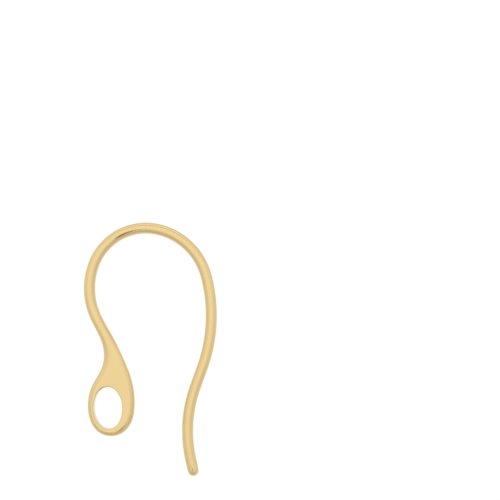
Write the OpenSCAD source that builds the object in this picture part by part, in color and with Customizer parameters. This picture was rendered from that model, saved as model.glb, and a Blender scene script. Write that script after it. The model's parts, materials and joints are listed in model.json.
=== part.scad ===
// Ear wire: a round wire bow that hooks through the ear, with a flat teardrop lobe and an oval hole
// for a drop. It lies flat, with the bow's top towards +Y and the leg on the +X side.
// Lengths are in millimetres and turns in degrees.

/* [Wire] */
// Thickness of the round wire
wire_d = 0.81; // [0.6:0.01:1]
// Bend radius at the top of the bow, which sets the size of the whole hook
bow_r = 4.05; // [3.4:0.05:5]
// Straight run at the tip, before its rounded end
tip_run = 0.75; // [0.3:0.05:3]

/* [Lobe] */
// Width of the oval hole
hole_w = 2.1; // [1.7:0.05:2.6]
// Height of the oval hole
hole_h = 3.1; // [2.4:0.05:3.6]
// Width of metal left of the hole
rim_left = 0.45; // [0.35:0.01:0.9]
// Width of metal right of the hole
rim_right = 0.87; // [0.35:0.01:0.9]
// Width of metal below the hole
rim_low = 0.52; // [0.35:0.01:0.9]
// Thickness of the lobe
lobe_t = 0.81; // [0.5:0.01:1]
// How far the rounding reaches in from the lobe's edge on the left
edge_left = 0.5; // [0.3:0.01:0.6]
// How far the rounding reaches in from the lobe's edge on the right and below
edge_right = 0.33; // [0.2:0.01:0.5]
// How far the rounding reaches out from the edge of the hole
edge_hole = 0.13; // [0.05:0.01:0.3]
// Length over which the lobe narrows to the round wire
neck_len = 3.9; // [3:0.1:5]

/* [Hidden] */
// Bends from the lobe to the tip. Columns: straight run before the bend and radius of the bend,
// both as shares of bow_r, then the turn, plus to the left.
bends = [
    [0, 1.43, 30],
    [0.3, 1.23, -50],
    [0, 1, -80],
    [0, 1.16, -63],
    [0, 2.78, -35],
    [0.35, 2.35, 33],
];

// Direction in which the wire leaves the lobe
neck_heading = 88;

// Lobe, measured from the middle of its widest level, which lies a little above the hole's middle
wide_up = 0.06 * hole_h;
half_w = (hole_w + rim_left + rim_right) / 2;
low_h = wide_up + hole_h / 2 + rim_low;
hole_x = (rim_left - rim_right) / 2;
hole_y = -wide_up;
// Its shoulders are arcs that rise from the widest level and end where the neck starts
shoulder_h = 0.71 * hole_h;
shoulder_r = 1.55 * hole_h;
// Radius of the slight curve by which the lobe leans to the right
lean_r = 3.4 * hole_h;
// How much fuller than an oval the lower half is, halfway between its sides and its bottom
low_full = 0.03;
// Tilt at which the outline's rounding starts from the flat face
edge_start = 20;
// Most of the metal beside the hole that the rounding of the outline and that of the hole may take
edge_share = 0.68;
hole_share = 0.24;

// Facets: degrees a step of a bend, then steps across the neck's face, round an edge, along a
// shoulder, round the lobe's lower half, across the lobe's face and over the rounded tip
bend_step = 5;
face_steps = 6;
edge_steps = 6;
shoulder_steps = 8;
low_steps = 26;
flat_steps = 3;
tip_steps = 5;

// Corners of one cross-section of the wire
ring_n = 2 * face_steps + 2 * edge_steps;
// Columns round the lobe, and corners of one column on its faces and in its hole
cols = face_steps + 2 * shoulder_steps + low_steps;
col_n = 2 * flat_steps + edge_steps + 1;
side_n = edge_steps - 1;

function smooth(u) = u * u * (3 - 2 * u);
function between(a, b, u) = a + (b - a) * u;
function heading_vec(h) = [cos(h), sin(h)];

// Lobe outline: sides at a height above the widest level, and the lower half by angle
function lean(y) = y * y / (2 * lean_r);
function half_at(y) = half_w - shoulder_r + sqrt(shoulder_r * shoulder_r - y * y);
function side_point(side, y) = [lean(y) + side * half_at(y), y];
function fullness(t) = 1 + low_full * pow(sin(2 * t), 2);
function low_point(t) = fullness(t) * [half_w * cos(t), low_h * sin(t)];
function low_normal(t) = let (g = fullness(t), grow = 2 * low_full * sin(4 * t))
    heading_vec(atan2(half_w * (g * sin(t) - grow * cos(t)), low_h * (g * cos(t) + grow * sin(t))));
neck_right = side_point(1, shoulder_h);
neck_left = side_point(-1, shoulder_h);

// Each column of the lobe as [outline point, outward direction], counted from the neck's right
// corner over to its left one, down the left shoulder, round the bottom and up the right shoulder.
left_end = face_steps + shoulder_steps;
low_end = left_end + low_steps;
function column(i) =
    i <= face_steps ? [between(neck_right, neck_left, i / face_steps), [1 - 2 * i / face_steps, 0]] :
    i <= left_end ? [side_point(-1, shoulder_h * (left_end - i) / shoulder_steps), [-1, 0]] :
    i <= low_end ? column_low(180 + 180 * (i - left_end) / low_steps) :
    [side_point(1, shoulder_h * (i - low_end) / shoulder_steps), [1, 0]];
function column_low(t) = [low_point(t), low_normal(t)];

// Oval hole: its corner on the line from its middle to a point
function hole_angle(p) = atan2((p[1] - hole_y) / hole_h, (p[0] - hole_x) / hole_w);
function hole_point(a) = [hole_x + hole_w / 2 * cos(a), hole_y + hole_h / 2 * sin(a)];
function hole_normal(a) = heading_vec(atan2(sin(a) / hole_h, cos(a) / hole_w));
// Metal beside the hole at a height, and the least metal that a column's two roundings share
function rim_at(side, y) = abs(side_point(side, y)[0] - hole_x) -
    hole_w / 2 * sqrt(max(0, 1 - pow(2 * (y - hole_y) / hole_h, 2)));
function side_metal(side, p, h) = min(rim_at(side, p[1]), rim_at(side, h[1]));
function low_metal(c, h, a) = min((c[0] - h) * c[1], (c[0] - h) * hole_normal(a));
metal_right = side_metal(1, neck_right, hole_point(hole_angle(neck_right)));
metal_left = side_metal(-1, neck_left, hole_point(hole_angle(neck_left)));
function metal(i, c, h, a) =
    i <= face_steps ? min(metal_right, metal_left) :
    i < left_end ? side_metal(-1, c[0], h) :
    i > low_end ? side_metal(1, c[0], h) : low_metal(c, h, a);

// Reach of the rounding at the neck's corners, at a column's outline and at its place in the hole.
// Left of the bottom the outline's rounding goes over from the right one to the left one.
neck_half = half_at(shoulder_h);
neck_edge_right = min(edge_right, edge_share * min(metal_right, neck_half));
neck_edge_left = min(edge_left, edge_share * min(metal_left, neck_half));
function edge_size(out) = between(edge_right, edge_left, min(1, max(0, -2 * out[0])));
function neck_inset(i) = [between(neck_edge_right, -neck_edge_left, i / face_steps), 0];
function inset(i, c, h, a) = i <= face_steps ? neck_inset(i) :
    min(edge_size(c[1]), edge_share * metal(i, c, h, a)) * c[1];
// A column's turn round the hole: it heads for the outline, and higher up more for the rounding's
// inner end
function turn_of(i, c) = hole_angle(c[0] - max(0, c[0][1] / shoulder_h) *
    (i <= face_steps ? neck_inset(i) : min(edge_size(c[1]), edge_share * neck_half) * c[1]));
function hole_inset(i, c, h, a) = min(edge_hole, hole_share * metal(i, c, h, a)) * hole_normal(a);

// Step k down the hole's straight wall with its two rounded edges: how far towards the hole, as a
// share of the rounding's reach, and how high
function wall_out(k) = sin(min(90, 180 * min(k, edge_steps - k) / (edge_steps - 2)));
function wall_up(k) = 2 * k == edge_steps ? 0 : 2 * k > edge_steps ? -wall_up(edge_steps - k) :
    lobe_t / 2 - edge_hole * (1 - cos(min(90, 180 * k / (edge_steps - 2))));

// Corners of one column: over the upper face, down the hole's wall, back under the lower face
function column_points(i) = let (
        c = column(i),
        a = turn_of(i, c),
        h = hole_point(a),
        wall = hole_inset(i, c, h, a),
        outer = c[0] - inset(i, c, h, a),
        inner = h + wall,
        z = lobe_t / 2
    ) concat(
        [for (k = [0:flat_steps]) lift(between(outer, inner, k / flat_steps), z)],
        [for (k = [1:side_n]) lift(inner - wall_out(k) * wall, wall_up(k))],
        [for (k = [0:flat_steps]) lift(between(inner, outer, k / flat_steps), -z)]
    );
// Step k down the outline's rounding: how far out, as a share of its reach, and how high, as a share
// of the half thickness
function edge_turn(k) = between(edge_start, 180 - edge_start, k / edge_steps);
function edge_out(k) = (sin(edge_turn(k)) - sin(edge_start)) / (1 - sin(edge_start));
function edge_up(k) = cos(edge_turn(k)) / cos(edge_start);

// Corners down the rounded outer edge of one column
function side_points(i) = let (
        c = column(i),
        a = turn_of(i, c),
        edge = inset(i, c, hole_point(a), a)
    ) [for (k = [1:side_n]) lift(c[0] - (1 - edge_out(k)) * edge, lobe_t / 2 * edge_up(k))];
function lift(p, z) = [p[0], p[1], z];

// Centre line of the wire as stations [x, y, heading, length so far]
function run_stations(s, len) = len == 0 ? [] :
    [[s[0] + len * cos(s[2]), s[1] + len * sin(s[2]), s[2], s[3] + len]];
function bend_stations(s, r, turn) = let (
        n = ceil(abs(turn) / bend_step),
        side = sign(turn),
        mid = [s[0] - side * r * sin(s[2]), s[1] + side * r * cos(s[2])]
    ) [for (k = [1:n]) let (h = s[2] + turn * k / n)
        [mid[0] + side * r * sin(h), mid[1] - side * r * cos(h), h, s[3] + r * abs(turn) * PI / 180 * k / n]];
function last(list) = list[len(list) - 1];
function add_bend(list, row) = let (
        run = row[0] * bow_r,
        radius = row[1] * bow_r,
        turn = row[2],
        with_run = concat(list, run_stations(last(list), run))
    ) concat(with_run, bend_stations(last(with_run), radius, turn));
function chain(list, i = 0) = i == len(bends) ? list : chain(add_bend(list, bends[i]), i + 1);
first = [lean(shoulder_h), shoulder_h, neck_heading, 0];
bent = chain([first]);
stations = concat(bent, run_stations(last(bent), tip_run));

// Cross-section of the wire: flat with rounded edges at the lobe, round after the neck.
// The half width starts with the shoulder's own slope.
neck_slope = -shoulder_h / sqrt(shoulder_r * shoulder_r - shoulder_h * shoulder_h);
function neck_share(s) = min(1, s / neck_len);
function half_width(u) = between(neck_half, wire_d / 2, smooth(u)) +
    neck_len * neck_slope * u * (1 - u) * (1 - u);
function half_thick(u) = between(lobe_t, wire_d, smooth(u)) / 2;

// Corner j of the flat and of the round form, as [to the left, up]. The flat form's two roundings
// leave a flat between them.
function flat_corner(j, w, t) = let (
        q = j % (face_steps + edge_steps),
        upper = j < face_steps + edge_steps,
        under = upper ? 1 : -1,
        right = min(neck_edge_right, edge_share * w),
        left = min(neck_edge_left, edge_share * w),
        start = upper ? right : left,
        end = upper ? left : right,
        k = max(0, q - face_steps),
        x = between(start - w, w - end, min(1, q / face_steps)) + end * edge_out(k)
    ) [under * x, under * t * edge_up(k)];
function round_corner(j, w, t) = let (a = 135 - 360 * j / ring_n) [w * cos(a), t * sin(a)];
function wire_corner(j, u) = let (w = half_width(u), t = half_thick(u))
    between(flat_corner(j, w, t), round_corner(j, w, t), smooth(u));
// Places one corner at a station, drawn in by a share and moved ahead for the rounded tip
function place(s, c, share = 1, ahead = 0) = [
    s[0] + ahead * cos(s[2]) - share * c[0] * sin(s[2]),
    s[1] + ahead * sin(s[2]) + share * c[0] * cos(s[2]),
    share * c[1]
];
function station_points(s) = [for (j = [0:ring_n - 1]) place(s, wire_corner(j, neck_share(s[3])))];
function tip_points(e) = [for (j = [0:ring_n - 1])
    place(last(stations), wire_corner(j, 1), cos(e), wire_d / 2 * sin(e))];

// All corners, in the order that the index functions below count on
wire_rings = concat(
    [for (i = [1:len(stations) - 1]) station_points(stations[i])],
    [for (k = [1:tip_steps - 1]) tip_points(90 * k / tip_steps)]
);
corners = concat(
    [for (i = [0:cols - 1]) each column_points(i)],
    [for (i = [face_steps:cols]) each side_points(i)],
    [for (r = wire_rings) each r],
    [place(last(stations), [0, 0], 0, wire_d / 2)]
);
side_start = cols * col_n;
wire_start = side_start + (cols - face_steps + 1) * side_n;
tip_index = len(corners) - 1;

function col_index(i, k) = (i % cols) * col_n + k;
function edge_index(i, k) = k == 0 ? col_index(i, 0) :
    k == edge_steps ? col_index(i, col_n - 1) :
    side_start + (i - face_steps) * side_n + k - 1;
// Ring 0 of the wire is the lobe's own open edge at the neck
function neck_index(j) =
    j <= face_steps ? col_index(j, 0) :
    j <= face_steps + edge_steps ? edge_index(face_steps, j - face_steps) :
    j <= 2 * face_steps + edge_steps ? col_index(2 * face_steps + edge_steps - j, col_n - 1) :
    edge_index(cols, ring_n - j);
function wire_index(i, j) = let (q = j % ring_n) i == 0 ? neck_index(q) : wire_start + (i - 1) * ring_n + q;

function quad(a, b, c, d) = [[a, b, c], [a, c, d]];
faces = concat(
    [for (i = [0:cols - 1], k = [0:col_n - 2])
        each quad(col_index(i, k), col_index(i, k + 1), col_index(i + 1, k + 1), col_index(i + 1, k))],
    [for (i = [face_steps:cols - 1], k = [0:edge_steps - 1])
        each quad(edge_index(i, k), edge_index(i + 1, k), edge_index(i + 1, k + 1), edge_index(i, k + 1))],
    [for (i = [0:len(wire_rings) - 1], j = [0:ring_n - 1])
        each quad(wire_index(i, j), wire_index(i, j + 1), wire_index(i + 1, j + 1), wire_index(i + 1, j))],
    [for (j = [0:ring_n - 1])
        [wire_index(len(wire_rings), j), wire_index(len(wire_rings), j + 1), tip_index]]
);

// The frame's origin is under the middle of the whole outline
xs = [for (p = corners) p[0]];
ys = [for (p = corners) p[1]];
origin = [(min(xs) + max(xs)) / 2, (min(ys) + max(ys)) / 2, -max(wire_d, lobe_t) / 2];

// The whole ear wire, one piece of metal
module ear_wire() {
    color("#e4c98f")
        translate(-origin)
            polyhedron(points = corners, faces = faces, convexity = 6);
}

ear_wire();
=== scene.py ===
import json
import math
from types import SimpleNamespace

import bmesh
import bpy
from bpy.props import FloatProperty, FloatVectorProperty, PointerProperty
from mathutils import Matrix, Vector


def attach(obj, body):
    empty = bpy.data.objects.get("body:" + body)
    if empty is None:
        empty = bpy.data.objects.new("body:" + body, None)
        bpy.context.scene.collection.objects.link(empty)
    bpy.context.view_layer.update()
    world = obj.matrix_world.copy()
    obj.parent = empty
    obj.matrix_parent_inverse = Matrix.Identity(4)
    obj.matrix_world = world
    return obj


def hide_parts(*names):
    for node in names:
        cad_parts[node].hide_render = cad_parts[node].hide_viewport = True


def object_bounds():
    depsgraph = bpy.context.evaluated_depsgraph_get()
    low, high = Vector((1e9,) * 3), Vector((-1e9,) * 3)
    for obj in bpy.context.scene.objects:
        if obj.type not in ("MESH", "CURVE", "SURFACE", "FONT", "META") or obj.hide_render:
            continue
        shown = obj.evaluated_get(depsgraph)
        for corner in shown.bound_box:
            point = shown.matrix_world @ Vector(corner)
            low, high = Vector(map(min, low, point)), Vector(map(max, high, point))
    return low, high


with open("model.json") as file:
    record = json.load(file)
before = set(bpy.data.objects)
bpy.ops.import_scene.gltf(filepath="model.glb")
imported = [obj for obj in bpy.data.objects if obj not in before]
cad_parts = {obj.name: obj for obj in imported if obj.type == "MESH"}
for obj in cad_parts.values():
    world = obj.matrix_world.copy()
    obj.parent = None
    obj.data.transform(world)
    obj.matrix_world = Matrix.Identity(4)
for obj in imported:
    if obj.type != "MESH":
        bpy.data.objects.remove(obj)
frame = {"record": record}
cad_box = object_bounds()

bl_info = {
    "name": "Ear Wire",
    "version": (1, 0, 0),
    "blender": (4, 5, 0),
    "location": "3D View > Sidebar > Ear Wire",
    "description": "Models a plain gold ear wire and the white table that it lies on",
    "category": "Add Mesh",
}

NODE = "ear_wire"
PIECE = "gold_ear_wire"

# Bends from the lobe to the tip. Columns: straight run before the bend and radius of the bend,
# both as shares of the bow's radius, then the turn in degrees, plus to the left.
BENDS = (
    (0, 1.43, 30),
    (0.3, 1.23, -50),
    (0, 1, -80),
    (0, 1.16, -63),
    (0, 2.78, -35),
    (0.35, 2.35, 33),
)
# Direction in which the wire leaves the lobe, in degrees from +X
NECK_HEADING = 88

# The lobe's form, as shares of the hole's height: how far its widest level lies above the hole's
# middle, where its shoulders end, their radius and the radius by which the lobe leans
WIDE_UP = 0.06
SHOULDER_HEIGHT = 0.71
SHOULDER_RADIUS = 1.55
LEAN_RADIUS = 3.4
# How much fuller than an oval the lobe's lower half is, halfway between its sides and its bottom
LOW_FULL = 0.03
# Tilt at which the outline's rounding starts from the flat face, in degrees
EDGE_START = 20
# Most of the metal beside the hole that its own rounding and that of the outline may take
HOLE_SHARE = 0.24
EDGE_SHARE = 0.68
# How soon the outline's rounding grows to its left size, by how far left the outline faces
LEFT_GROWTH = 2

# The cage that the smooth surface is made from: columns round the hole, of which the neck takes
# some, steps over a rounded edge, steps across the neck's face, neck sections, and metres a step
# round a bend
COLUMNS = 20
NECK_COLUMNS = 4
EDGE_STEPS = 3
FACE_STEPS = 6
NECK_SECTIONS = 8
BEND_STEP = 0.00045
# First column, at the right end of the neck, in degrees round the hole
FIRST_COLUMN = 45
# A column's outline lies between these multiples of the hole's half size, and is found by halving
# that stretch so many times
RAY_ENDS = (1, 3)
HALVINGS = 30
# Most of the way to the hole that the row of corners on the lobe's face may stand
FACE_SHARE = 0.5
# Steps over the rounded tip, in degrees, and the squares across its end
TIP_STEPS = (28, 52, 72)
TIP_SQUARES = 6
SMOOTH_LEVELS = 2
# Corners closer than this are one corner, in metres
MERGE = 1e-7

# Grain of the gold: features a metre, the heights of its bumps in metres, and its least and most
# roughness as shares of the finish's own
PATCHES = 700
WAVES = 1800
GRAIN = 16000
WAVE_HEIGHT = 0.000006
GRAIN_HEIGHT = 0.0000004
GRAIN_POLISH = (0.8, 1.2)

# The soft light: brightness of the walls in front and behind, as shares of the panel overhead. The
# panel sets in between two heights of a ray one long, and its front edge fades in between two
# places, counted back from straight above as shares of the ray's height.
FRONT_LIGHT = 0.6
BACK_LIGHT = 1.08
PANEL_RISE = (0.5, 1)
PANEL_FRONT = (-1.2, 0.1)

# The table's side in metres, then two cards that the gold reflects. Columns: length and width,
# place, turn and colour.
TABLE_SIZE = 3
CARDS = {
    "dark_card": ((0.178, 0.045), (0.0325, -0.1462, 0.25), (0, 0, -60), (0.34, 0.26, 0.15)),
    "back_card": ((1.55, 0.08), (0.085, 0.4, 0.22), (90, 0, 0), (0.62, 0.56, 0.45)),
}
CARD_THICKNESS = 0.002

# The picture's width, and the pixel in it where the middle of the ear wire lies
PICTURE = 500
PART_X = 150.4
PART_Y = 349.2
# The camera's film width in millimetres, and the nearest that it sees in metres
SENSOR = 36
NEAREST = 0.001


class WireSizes(bpy.types.PropertyGroup):
    """Sizes of the round wire."""

    thickness: FloatProperty(
        name="Thickness", description="Thickness of the round wire",
        default=cad_box[1].z - cad_box[0].z, min=0.0006, max=0.001, unit="LENGTH", precision=5)
    bow_radius: FloatProperty(
        name="Bow radius", description="Bend radius at the top of the bow",
        default=0.00405, min=0.0034, max=0.005, unit="LENGTH", precision=5)
    tip_run: FloatProperty(
        name="Tip run", description="Straight run at the tip, before its rounded end",
        default=0.00075, min=0.0003, max=0.003, unit="LENGTH", precision=5)


class LobeSizes(bpy.types.PropertyGroup):
    """Sizes of the flat lobe and its oval hole."""

    hole_width: FloatProperty(
        name="Hole width", description="Width of the oval hole",
        default=0.0021, min=0.0017, max=0.0026, unit="LENGTH", precision=5)
    hole_height: FloatProperty(
        name="Hole height", description="Height of the oval hole",
        default=0.0031, min=0.0024, max=0.0036, unit="LENGTH", precision=5)
    rim_left: FloatProperty(
        name="Rim left", description="Width of metal left of the hole",
        default=0.00045, min=0.00035, max=0.0009, unit="LENGTH", precision=5)
    rim_right: FloatProperty(
        name="Rim right", description="Width of metal right of the hole",
        default=0.00087, min=0.00035, max=0.0009, unit="LENGTH", precision=5)
    rim_low: FloatProperty(
        name="Rim below", description="Width of metal below the hole",
        default=0.00052, min=0.00035, max=0.0009, unit="LENGTH", precision=5)
    edge_left: FloatProperty(
        name="Rounding left", description="How far the rounding reaches in on the left",
        default=0.0005, min=0.0003, max=0.0006, unit="LENGTH", precision=5)
    edge_right: FloatProperty(
        name="Rounding right", description="How far it reaches in on the right and below",
        default=0.00033, min=0.0002, max=0.0005, unit="LENGTH", precision=5)
    edge_hole: FloatProperty(
        name="Rounding in the hole", description="How far the rounding reaches out from the hole",
        default=0.00013, min=0.00005, max=0.0003, unit="LENGTH", precision=5)
    neck_length: FloatProperty(
        name="Neck length", description="Length over which the lobe narrows to the round wire",
        default=0.0039, min=0.003, max=0.005, unit="LENGTH", precision=5)


class GoldFinish(bpy.types.PropertyGroup):
    """Colour and polish of the gold."""

    colour: FloatVectorProperty(
        name="Gold", description="Colour of the polished gold",
        default=(0.685, 0.53, 0.262), min=0, max=1, subtype="COLOR")
    warm: FloatVectorProperty(
        name="Warm gold", description="Colour of the slightly warmer patches",
        default=(0.695, 0.518, 0.245), min=0, max=1, subtype="COLOR")
    roughness: FloatProperty(
        name="Roughness", description="Softness of the reflections",
        default=0.1, min=0.02, max=0.6, subtype="FACTOR")


class StudioSettings(bpy.types.PropertyGroup):
    """The table, its light and the camera."""

    table: FloatVectorProperty(
        name="Table", description="Colour of the white table",
        default=(0.08, 0.08, 0.08), min=0, max=1, subtype="COLOR")
    table_glow: FloatProperty(
        name="Table glow", description="Light that the table gives from below",
        default=0.94, min=0, max=2)
    light: FloatProperty(
        name="Light", description="Brightness of the soft light overhead",
        default=1.27, min=0, max=5)
    picture: FloatProperty(
        name="Picture width", description="Width of table that the picture shows",
        default=0.0365, min=0.01, max=0.2, unit="LENGTH", precision=5)
    camera_height: FloatProperty(
        name="Camera height", description="Height of the camera above the wire",
        default=0.073, min=0.03, max=1, unit="LENGTH", precision=4)


def smooth(share):
    """A share from 0 to 1 that starts and ends gently."""
    return share * share * (3 - 2 * share)


def mix(a, b, share):
    """The value or point between two others."""
    return a + (b - a) * share


def ahead_of(heading):
    """The way ahead along a heading, in the plan."""
    return Vector((math.cos(heading), math.sin(heading)))


def left_of(heading):
    """The way square to a heading, on its left."""
    return Vector((-math.sin(heading), math.cos(heading)))


def stand_out(step):
    """How much further out a cage with this many degrees a step stands than its smooth surface."""
    return 3 / (2 + math.cos(math.radians(step)))


def firm(points):
    """Cage points of an open line whose smooth surface passes through the given points."""
    inner = [b - (a - 2 * b + c) / 6 for a, b, c in zip(points, points[1:], points[2:])]
    return [points[0], *inner, points[-1]]


def edge_profile():
    """The outline's rounding from its middle up to the flat face: how far out and up, as shares."""
    start = math.radians(EDGE_START)
    points = []
    # The step below the middle is there for firm() alone
    for count in range(-1, EDGE_STEPS + 1):
        angle = (math.pi / 2 - start) * count / EDGE_STEPS
        out = (math.cos(angle) - math.sin(start)) / (1 - math.sin(start))
        points.append(Vector((out, math.sin(angle) / math.cos(start))))
    return firm(points)[1:]


EDGE = edge_profile()
SECTION_STEPS = 2 * EDGE_STEPS + FACE_STEPS
ROUND_STEP = 180 / SECTION_STEPS
ROUND_OUT = stand_out(ROUND_STEP)
COLUMN_STEP = 360 / COLUMNS
COLUMN_OUT = stand_out(COLUMN_STEP)


def shape_of(wire, lobe):
    """The lengths that follow from the sidebar's sizes, round the middle of the widest level."""
    shape = SimpleNamespace(
        half_t=wire.thickness / 2, edge_left=lobe.edge_left, edge_right=lobe.edge_right,
        edge_hole=lobe.edge_hole)
    shape.half_w = (lobe.hole_width + lobe.rim_left + lobe.rim_right) / 2
    shape.low_h = (WIDE_UP + 0.5) * lobe.hole_height + lobe.rim_low
    shape.hole = Vector(((lobe.rim_left - lobe.rim_right) / 2, -WIDE_UP * lobe.hole_height))
    shape.hole_half = Vector((lobe.hole_width / 2, lobe.hole_height / 2))
    shape.shoulder_h = SHOULDER_HEIGHT * lobe.hole_height
    shape.shoulder_r = SHOULDER_RADIUS * lobe.hole_height
    shape.lean_r = LEAN_RADIUS * lobe.hole_height
    shape.reach_left, shape.reach_right, shape.reach_low, shape.reach_top = (
        min(lobe.edge_hole, HOLE_SHARE * metal)
        for metal in (lobe.rim_left, lobe.rim_right, lobe.rim_low, shape.shoulder_h))
    rise = math.sqrt(shape.shoulder_r ** 2 - shape.shoulder_h ** 2)
    shape.neck_half = shape.half_w - shape.shoulder_r + rise
    shape.neck_slope = -shape.shoulder_h / rise
    shape.neck_length = lobe.neck_length
    mounts = {mount["name"]: mount for mount in frame["record"]["mounts"]}
    shape.place = Vector(mounts["drop_hole"]["pos_m"]).xy - shape.hole
    shape.neck_start = shape.place + Vector((lean(shape, shape.shoulder_h), shape.shoulder_h))
    return shape


def lean(shape, height):
    """How far right the lobe leans at a height above its widest level."""
    return height ** 2 / (2 * shape.lean_r)


def side_point(shape, side, height):
    """Point of the lobe's right (1) or left (-1) outline at a height above the widest level."""
    half = shape.half_w - shape.shoulder_r + math.sqrt(shape.shoulder_r ** 2 - height ** 2)
    return Vector((lean(shape, height) + side * half, height))


def fullness(turn):
    """How far out the lobe's lower half lies at a turn, as a share of a plain oval."""
    return 1 + LOW_FULL * math.sin(2 * turn) ** 2


def is_metal(shape, point):
    """Whether a point lies inside the lobe's outline."""
    if point.y <= 0:
        share = Vector((point.x / shape.half_w, point.y / shape.low_h))
        return share.length < fullness(math.atan2(share.y, share.x))
    return side_point(shape, -1, point.y).x < point.x < side_point(shape, 1, point.y).x


def outline_point(shape, turn):
    """Where a ray from the hole's middle leaves the lobe, found by halving."""
    ray = Vector((shape.hole_half.x * math.cos(turn), shape.hole_half.y * math.sin(turn)))
    inside, outside = RAY_ENDS
    for _ in range(HALVINGS):
        middle = (inside + outside) / 2
        if is_metal(shape, shape.hole + middle * ray):
            inside = middle
        else:
            outside = middle
    return shape.hole + inside * ray


def rim_at(shape, side, height):
    """Width of metal beside the hole at a height above the widest level."""
    up = (height - shape.hole.y) / shape.hole_half.y
    half_hole = shape.hole_half.x * math.sqrt(max(0, 1 - up ** 2))
    return abs(side_point(shape, side, height).x - shape.hole.x) - half_hole


def reach_at(shape, point, turn):
    """How far the rounding of the outline reaches in at a point, which the metal there limits."""
    ray = Vector((math.cos(turn), math.sin(turn)))
    rim = shape.hole + ray * shape.hole_half
    if point.y > 0:
        side = math.copysign(1, point.x)
        metal = min(rim_at(shape, side, point.y), rim_at(shape, side, rim.y))
    else:
        across = point - rim
        hole_way = Vector((ray.x / shape.hole_half.x, ray.y / shape.hole_half.y)).normalized()
        metal = min(across.dot(outward(shape, point)), across.dot(hole_way))
    leftward = min(1, max(0, -LEFT_GROWTH * outward(shape, point).x))
    edge = mix(shape.edge_right, shape.edge_left, leftward)
    return min(edge, EDGE_SHARE * metal)


def outward(shape, point):
    """The way out of the metal at a point of the outline."""
    if point.y > 0:
        return Vector((math.copysign(1, point.x), 0))
    turn = math.atan2(point.y / shape.low_h, point.x / shape.half_w)
    out = fullness(turn)
    grow = 2 * LOW_FULL * math.sin(4 * turn)
    return Vector((
        shape.low_h * (out * math.cos(turn) + grow * math.sin(turn)),
        shape.half_w * (out * math.sin(turn) - grow * math.cos(turn)))).normalized()


def lift(shape, point, up):
    """A point of the lobe's plan as a place in the frame, a height above the mid-plane."""
    return Vector((*(shape.place + point), up))


def hole_ovals(shape):
    """Middle and half widths of each loop up the hole: its straight wall, corner and rounding."""
    # Columns: share of the rounding's reach, and height
    steps = (
        (0, 0),
        (0, shape.half_t - shape.edge_hole),
        (0, shape.half_t),
        (1, shape.half_t),
    )
    loops = []
    for share, height in steps:
        left, right, low, top = (
            share * reach
            for reach in (shape.reach_left, shape.reach_right, shape.reach_low, shape.reach_top))
        middle = shape.hole + Vector((right - left, top - low)) / 2
        half = shape.hole_half + Vector((right + left, top + low)) / 2
        loops.append((lift(shape, middle, height), half * COLUMN_OUT))
    return loops


def oval_corner(middle, half, turn):
    """The corner of an oval loop at a turn."""
    return middle + Vector((half.x * math.cos(turn), half.y * math.sin(turn), 0))


def neck_section(shape, at, heading, share):
    """Corners of the neck's upper half, from its right edge over to its left, a share along it."""
    half = mix(shape.neck_half, shape.half_t, smooth(share))
    # The neck starts with the shoulder's own slope
    half += shape.neck_length * shape.neck_slope * share * (1 - share) ** 2
    right, left = (min(edge, EDGE_SHARE * half) for edge in (shape.edge_right, shape.edge_left))
    aside = left_of(heading).to_3d()
    corners = []
    for count in range(SECTION_STEPS + 1):
        out, up = EDGE[min(count, SECTION_STEPS - count, EDGE_STEPS)]
        edge = right if 2 * count < SECTION_STEPS else -left
        across = min(1, max(0, (count - EDGE_STEPS) / FACE_STEPS))
        face = mix(half - right, left - half, across)
        flat = Vector((face + out * edge, up * shape.half_t))
        angle = math.radians(count * ROUND_STEP)
        full = ROUND_OUT * Vector((half * math.cos(angle), shape.half_t * math.sin(angle)))
        corner = mix(flat, full, smooth(share))
        corners.append(at - corner.x * aside + Vector((0, 0, corner.y)))
    return corners


def pick(places):
    """Selects the corners at these places and the edges between them, and nothing else."""
    bpy.ops.mesh.select_all(action="DESELECT")
    cage = bmesh.from_edit_mesh(bpy.context.object.data)
    for place in places:
        min(cage.verts, key=lambda corner: (corner.co - place).length).select = True
    cage.select_flush(True)
    bmesh.update_edit_mesh(bpy.context.object.data)


def extrude_onto(places, targets):
    """Extrudes the edges along these places and takes each new corner to its own target."""
    pick(places)
    bpy.ops.mesh.extrude_region_move()
    cage = bmesh.from_edit_mesh(bpy.context.object.data)
    cage.verts.index_update()
    fresh = [corner for corner in cage.verts if corner.select]
    order = [min(fresh, key=lambda corner: (corner.co - place).length).index for place in places]
    for index, place, target in zip(order, places, targets):
        cage = bmesh.from_edit_mesh(bpy.context.object.data)
        cage.verts.ensure_lookup_table()
        bpy.ops.mesh.select_all(action="DESELECT")
        cage.verts[index].select = True
        bpy.ops.transform.translate(value=target - place)
    return targets


def crisp(places, value):
    """Keeps the edges along these places crisp on the smooth surface."""
    pick(places)
    bpy.ops.transform.edge_crease(value=value)


def run_on(at, heading, length):
    """Extrudes the picked section straight ahead and returns where it ends."""
    ahead = length * ahead_of(heading)
    bpy.ops.mesh.extrude_region_move(TRANSFORM_OT_translate={"value": ahead.to_3d()})
    return at + ahead


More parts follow.
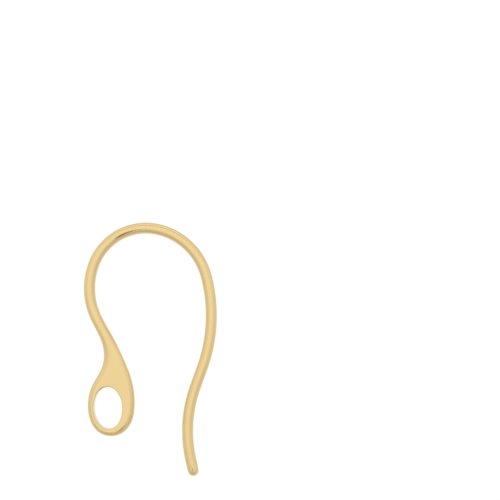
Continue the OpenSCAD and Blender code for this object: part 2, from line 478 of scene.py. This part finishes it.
def model_lobe(shape):
    """Models the lobe's upper half round its hole and returns the open section at its neck."""
    turns = [math.radians(FIRST_COLUMN + COLUMN_STEP * i) for i in range(COLUMNS)]
    (middle, half), *loops = hole_ovals(shape)
    # A new circle's first corner lies towards +Y
    bpy.ops.mesh.primitive_circle_add(
        vertices=COLUMNS, radius=half.x, location=middle,
        rotation=(0, 0, turns[0] - math.pi / 2))
    bpy.context.object.name = PIECE
    bpy.context.object.data.name = PIECE
    bpy.ops.object.transform_apply(location=True, rotation=True, scale=True)
    bpy.ops.object.mode_set(mode="EDIT")
    bpy.ops.transform.resize(value=(1, half.y / half.x, 1), center_override=middle)
    for above, wider in loops:
        bpy.ops.mesh.extrude_region_move(TRANSFORM_OT_translate={"value": above - middle})
        bpy.ops.transform.resize(
            value=(wider.x / half.x, wider.y / half.y, 1), center_override=above)
        middle, half = above, wider
    rim = [oval_corner(middle, half, turn) for turn in turns]

    # The neck's first section stands straight across the lobe
    neck = neck_section(shape, shape.neck_start.to_3d(), math.pi / 2, 0)
    outline = [side_point(shape, -1, shape.shoulder_h)]
    outline += [outline_point(shape, turn) for turn in turns[NECK_COLUMNS + 1:]]
    outline += [side_point(shape, 1, shape.shoulder_h)]
    ways = [outward(shape, point) for point in outline]
    reaches = [reach_at(shape, *pair) for pair in zip(outline, turns[NECK_COLUMNS:] + turns[:1])]
    rows = []
    for count in range(EDGE_STEPS, -1, -1):
        out, up = EDGE[count]
        row = [
            lift(shape, point - (1 - out) * reach * way, up * shape.half_t)
            for point, reach, way in zip(firm(outline), reaches, ways)]
        row[0], row[-1] = neck[-1 - count], neck[count]
        rows.append(row)

    first = EDGE_STEPS + 1
    face = neck[first:first + NECK_COLUMNS + 1]
    margin = (neck[EDGE_STEPS] - neck[first]).length
    for corner, edge in zip(rim[NECK_COLUMNS + 1:], rows[0][1:-1]):
        inward = corner - edge
        face.append(edge + inward * min(FACE_SHARE, margin / inward.length))
    extrude_onto(rim, face)
    line = face[NECK_COLUMNS:] + face[:1]
    for row in rows:
        line = extrude_onto(line, row)
    crisp(rows[0], 1)
    return neck


def draw_neck(shape, radius, turn, section):
    """Draws the neck out of the lobe, leaves its end section picked and returns where that is."""
    heading = math.radians(NECK_HEADING)
    centre = shape.neck_start + radius * left_of(heading)
    for count in range(1, NECK_SECTIONS + 1):
        share = count / NECK_SECTIONS
        along = share * shape.neck_length
        turned = heading + min(turn, along / radius)
        at = centre - radius * left_of(turned)
        at += max(0, along - radius * turn) * ahead_of(turned)
        before = section
        section = extrude_onto(section, neck_section(shape, at.to_3d(), turned, share))
        # The edge between face and rounding softens as the neck turns round
        for corner in (EDGE_STEPS, SECTION_STEPS - EDGE_STEPS):
            crisp((before[corner], section[corner]), (1 - smooth(share)) ** 2)
    pick(section)
    return at


def bend_wire(shape, sizes, neck):
    """Draws the neck out of the lobe, then the round wire through its bends to its rounded tip."""
    bends = [
        (run * sizes.bow_radius, radius * sizes.bow_radius, math.radians(turn))
        for run, radius, turn in BENDS]
    _, radius, turn = bends[0]
    at = draw_neck(shape, radius, turn, neck)
    heading = math.radians(NECK_HEADING) + turn
    # The neck takes up the first bend and a part of the run after it
    gone = shape.neck_length - radius * turn
    for run, radius, turn in bends[1:]:
        if run > gone:
            at = run_on(at, heading, run - gone)
        gone = 0
        side = math.copysign(1, turn)
        centre = at + side * radius * left_of(heading)
        bpy.ops.mesh.spin(
            steps=math.ceil(radius * abs(turn) / BEND_STEP), angle=-turn,
            center=centre.to_3d(), axis=(0, 0, 1))
        heading += turn
        at = centre - side * radius * left_of(heading)
    at = run_on(at, heading, sizes.tip_run)
    return at, heading


def close_tip(shape, at, heading):
    """Rounds the tip over, copies the upper half below, closes the end and smooths it all."""
    radius = shape.half_t
    centre = at
    size = 1
    for step in TIP_STEPS:
        angle = math.radians(step)
        ahead = radius * math.sin(angle) * ahead_of(heading)
        bpy.ops.mesh.extrude_region_move(
            TRANSFORM_OT_translate={"value": (at + ahead - centre).to_3d()})
        centre = at + ahead
        bpy.ops.transform.resize(
            value=(math.cos(angle) / size,) * 3, center_override=centre.to_3d())
        size = math.cos(angle)
    bpy.ops.object.mode_set(mode="OBJECT")
    piece = bpy.context.object
    below = piece.modifiers.new("lower_half", "MIRROR")
    below.use_axis = (False, False, True)
    below.use_mirror_merge = True
    below.merge_threshold = MERGE
    bpy.ops.object.modifier_apply(modifier=below.name)
    bpy.ops.object.mode_set(mode="EDIT")
    bpy.ops.mesh.select_all(action="DESELECT")
    cage = bmesh.from_edit_mesh(piece.data)
    for edge in cage.edges:
        edge.select = edge.is_boundary and (edge.verts[0].co.xy - centre).length < radius
    bmesh.update_edit_mesh(piece.data)
    bpy.ops.mesh.fill_grid(span=TIP_SQUARES)
    bpy.ops.mesh.select_all(action="SELECT")
    bpy.ops.mesh.remove_doubles(threshold=MERGE)
    bpy.ops.mesh.normals_make_consistent(inside=False)
    bpy.ops.transform.translate(value=(0, 0, cad_box[0].z + shape.half_t))
    bpy.ops.object.mode_set(mode="OBJECT")
    bpy.ops.object.shade_smooth()
    surface = piece.modifiers.new("smooth_surface", "SUBSURF")
    surface.levels = surface.render_levels = SMOOTH_LEVELS
    bpy.ops.object.modifier_apply(modifier=surface.name)
    # It is centred on the CAD model's box, whose opposite corners are the first and the seventh
    box = [Vector(corner) for corner in piece.bound_box]
    piece.location = (cad_box[0] + cad_box[1] - box[0] - box[6]) / 2
    bpy.ops.object.transform_apply(location=True, rotation=True, scale=True)
    return piece


def gold_material(finish):
    """Polished gold: slightly warmer patches, a faint hand-worked waviness and a fine grain."""
    material = bpy.data.materials.new("polished_gold")
    material.use_nodes = True
    nodes, links = material.node_tree.nodes, material.node_tree.links
    shader = nodes["Principled BSDF"]
    shader.inputs["Metallic"].default_value = 1
    place = nodes.new("ShaderNodeTexCoord").outputs["Object"]

    def noise(scale, detail=2):
        """Noise with so many features a metre, fixed to the piece."""
        node = nodes.new("ShaderNodeTexNoise")
        node.inputs["Scale"].default_value = scale
        node.inputs["Detail"].default_value = detail
        links.new(place, node.inputs["Vector"])
        return node.outputs["Fac"]

    tone = nodes.new("ShaderNodeMix")
    tone.data_type = "RGBA"
    tone.inputs["A"].default_value = (*finish.colour, 1)
    tone.inputs["B"].default_value = (*finish.warm, 1)
    links.new(noise(PATCHES), tone.inputs["Factor"])
    links.new(tone.outputs["Result"], shader.inputs["Base Color"])

    polish = nodes.new("ShaderNodeMapRange")
    for end, share in zip(("To Min", "To Max"), GRAIN_POLISH):
        polish.inputs[end].default_value = finish.roughness * share
    links.new(noise(GRAIN, detail=4), polish.inputs["Value"])
    links.new(polish.outputs["Result"], shader.inputs["Roughness"])

    normal = None
    for scale, height in ((WAVES, WAVE_HEIGHT), (GRAIN, GRAIN_HEIGHT)):
        bump = nodes.new("ShaderNodeBump")
        bump.inputs["Distance"].default_value = height
        links.new(noise(scale), bump.inputs["Height"])
        if normal:
            links.new(normal, bump.inputs["Normal"])
        normal = bump.outputs["Normal"]
    links.new(normal, shader.inputs["Normal"])
    return material


def stage_material(name, colour, glow=0):
    """Matt stage surface, which may give a little light of its own."""
    material = bpy.data.materials.new(name)
    material.use_nodes = True
    shader = material.node_tree.nodes["Principled BSDF"]
    shader.inputs["Roughness"].default_value = 1
    shader.inputs["Specular IOR Level"].default_value = 0
    shader.inputs["Base Color"].default_value = (*colour, 1)
    shader.inputs["Emission Color"].default_value = (1, 1, 1, 1)
    shader.inputs["Emission Strength"].default_value = glow
    return material


def soft_sky(studio):
    """The soft light all round: a bright panel overhead, and walls that are dimmer in front."""
    world = bpy.data.worlds.new("soft_light")
    bpy.context.scene.world = world
    world.use_nodes = True
    nodes, links = world.node_tree.nodes, world.node_tree.links
    ray = nodes.new("ShaderNodeSeparateXYZ")
    links.new(nodes.new("ShaderNodeTexCoord").outputs["Generated"], ray.inputs["Vector"])

    def rise(value, low, high, kind="SMOOTHSTEP"):
        """A node whose result rises from 0 to 1 as a value goes from low to high."""
        node = nodes.new("ShaderNodeMapRange")
        node.interpolation_type = kind
        node.inputs["From Min"].default_value = low
        node.inputs["From Max"].default_value = high
        links.new(value, node.inputs["Value"])
        return node

    def combine(operation, a, b):
        """What an operation makes of a value and a second value or plain number."""
        node = nodes.new("ShaderNodeMath")
        node.operation = operation
        links.new(a, node.inputs[0])
        if isinstance(b, float):
            node.inputs[1].default_value = b
        else:
            links.new(b, node.inputs[1])
        return node.outputs["Value"]

    walls = rise(ray.outputs["Y"], -1, 1, "LINEAR")
    walls.inputs["To Min"].default_value = FRONT_LIGHT
    walls.inputs["To Max"].default_value = BACK_LIGHT
    backward = combine("DIVIDE", ray.outputs["Y"], ray.outputs["Z"])
    panel = combine(
        "MULTIPLY", rise(ray.outputs["Z"], *PANEL_RISE).outputs["Result"],
        rise(backward, *PANEL_FRONT).outputs["Result"])
    level = nodes.new("ShaderNodeMix")
    level.inputs["B"].default_value = 1
    links.new(panel, level.inputs["Factor"])
    links.new(walls.outputs["Result"], level.inputs["A"])
    nodes["Background"].inputs["Color"].default_value = (1, 1, 1, 1)
    links.new(
        combine("MULTIPLY", level.outputs["Result"], studio.light),
        nodes["Background"].inputs["Strength"])


def stage_card(name, size, place, turn, colour):
    """A thin card that stands or hangs out of the picture and shows as a line in the gold."""
    bpy.ops.mesh.primitive_plane_add(
        size=1, location=place, rotation=[math.radians(angle) for angle in turn])
    card = bpy.context.object
    card.name = name
    bpy.ops.object.mode_set(mode="EDIT")
    bpy.ops.transform.resize(value=(*size, 1), orient_type="LOCAL")
    bpy.ops.mesh.extrude_region_move(
        TRANSFORM_OT_translate={"value": (0, 0, CARD_THICKNESS), "orient_type": "LOCAL"})
    bpy.ops.object.mode_set(mode="OBJECT")
    bpy.ops.object.transform_apply(location=True, rotation=True, scale=True)
    card.data.materials.append(stage_material(name, colour))


class EARWIRE_OT_ear_wire(bpy.types.Operator):
    """Model the ear wire: lobe, neck, bow, leg and rounded tip in one piece of gold"""

    bl_idname = "ear_wire.model"
    bl_label = "Model Ear Wire"

    def execute(self, context):
        sizes = context.scene.ear_wire_sizes
        shape = shape_of(sizes, context.scene.ear_wire_lobe)
        bpy.ops.object.select_all(action="DESELECT")
        neck = model_lobe(shape)
        at, heading = bend_wire(shape, sizes, neck)
        piece = close_tip(shape, at, heading)
        piece.data.materials.append(gold_material(context.scene.ear_wire_gold))
        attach(piece, "root")
        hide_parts(NODE)
        return {"FINISHED"}


class EARWIRE_OT_studio(bpy.types.Operator):
    """Set the white table, the soft light and the camera straight above"""

    bl_idname = "ear_wire.studio"
    bl_label = "Set Studio"

    def execute(self, context):
        studio = context.scene.ear_wire_studio
        soft_sky(studio)
        bpy.ops.object.select_all(action="DESELECT")
        bpy.ops.mesh.primitive_plane_add(size=TABLE_SIZE, location=(0, 0, cad_box[0].z))
        table = context.object
        table.name = "white_table"
        table.data.materials.append(stage_material(table.name, studio.table, studio.table_glow))
        for name, card in CARDS.items():
            stage_card(name, *card)
        aside = (PICTURE / 2 - PART_X) / PICTURE * studio.picture
        up = (PART_Y - PICTURE / 2) / PICTURE * studio.picture
        middle = (cad_box[0] + cad_box[1]) / 2
        bpy.ops.object.camera_add(
            location=middle + Vector((aside, up, studio.camera_height)), rotation=(0, 0, 0))
        camera = context.object
        camera.name = "camera"
        camera.data.sensor_width = SENSOR
        camera.data.lens = SENSOR * studio.camera_height / studio.picture
        camera.data.clip_start = NEAREST
        context.scene.camera = camera
        context.scene.view_settings.view_transform = "Standard"
        return {"FINISHED"}


class EARWIRE_PT_sidebar(bpy.types.Panel):
    """Sizes, finish and studio of the ear wire"""

    bl_idname = "EARWIRE_PT_sidebar"
    bl_label = "Ear Wire"
    bl_space_type = "VIEW_3D"
    bl_region_type = "UI"
    bl_category = "Ear Wire"

    def draw(self, context):
        for name in SETTINGS:
            group = getattr(context.scene, name)
            for setting in group.bl_rna.properties.keys():
                if setting not in ("rna_type", "name"):
                    self.layout.prop(group, setting)
        for operator in OPERATORS:
            self.layout.operator(operator.bl_idname)


SETTINGS = {
    "ear_wire_sizes": WireSizes,
    "ear_wire_lobe": LobeSizes,
    "ear_wire_gold": GoldFinish,
    "ear_wire_studio": StudioSettings,
}
OPERATORS = (EARWIRE_OT_ear_wire, EARWIRE_OT_studio)
CLASSES = (*SETTINGS.values(), *OPERATORS, EARWIRE_PT_sidebar)


def register():
    """Adds the classes, and their settings to the scene."""
    for each in CLASSES:
        bpy.utils.register_class(each)
    for name, group in SETTINGS.items():
        setattr(bpy.types.Scene, name, PointerProperty(type=group))


def unregister():
    """Takes the settings and the classes away again."""
    for name in SETTINGS:
        delattr(bpy.types.Scene, name)
    for each in reversed(CLASSES):
        bpy.utils.unregister_class(each)


def main():
    """Models the ear wire and its stage."""
    register()
    bpy.ops.ear_wire.model()
    bpy.ops.ear_wire.studio()


if __name__ == "__main__":
    main()
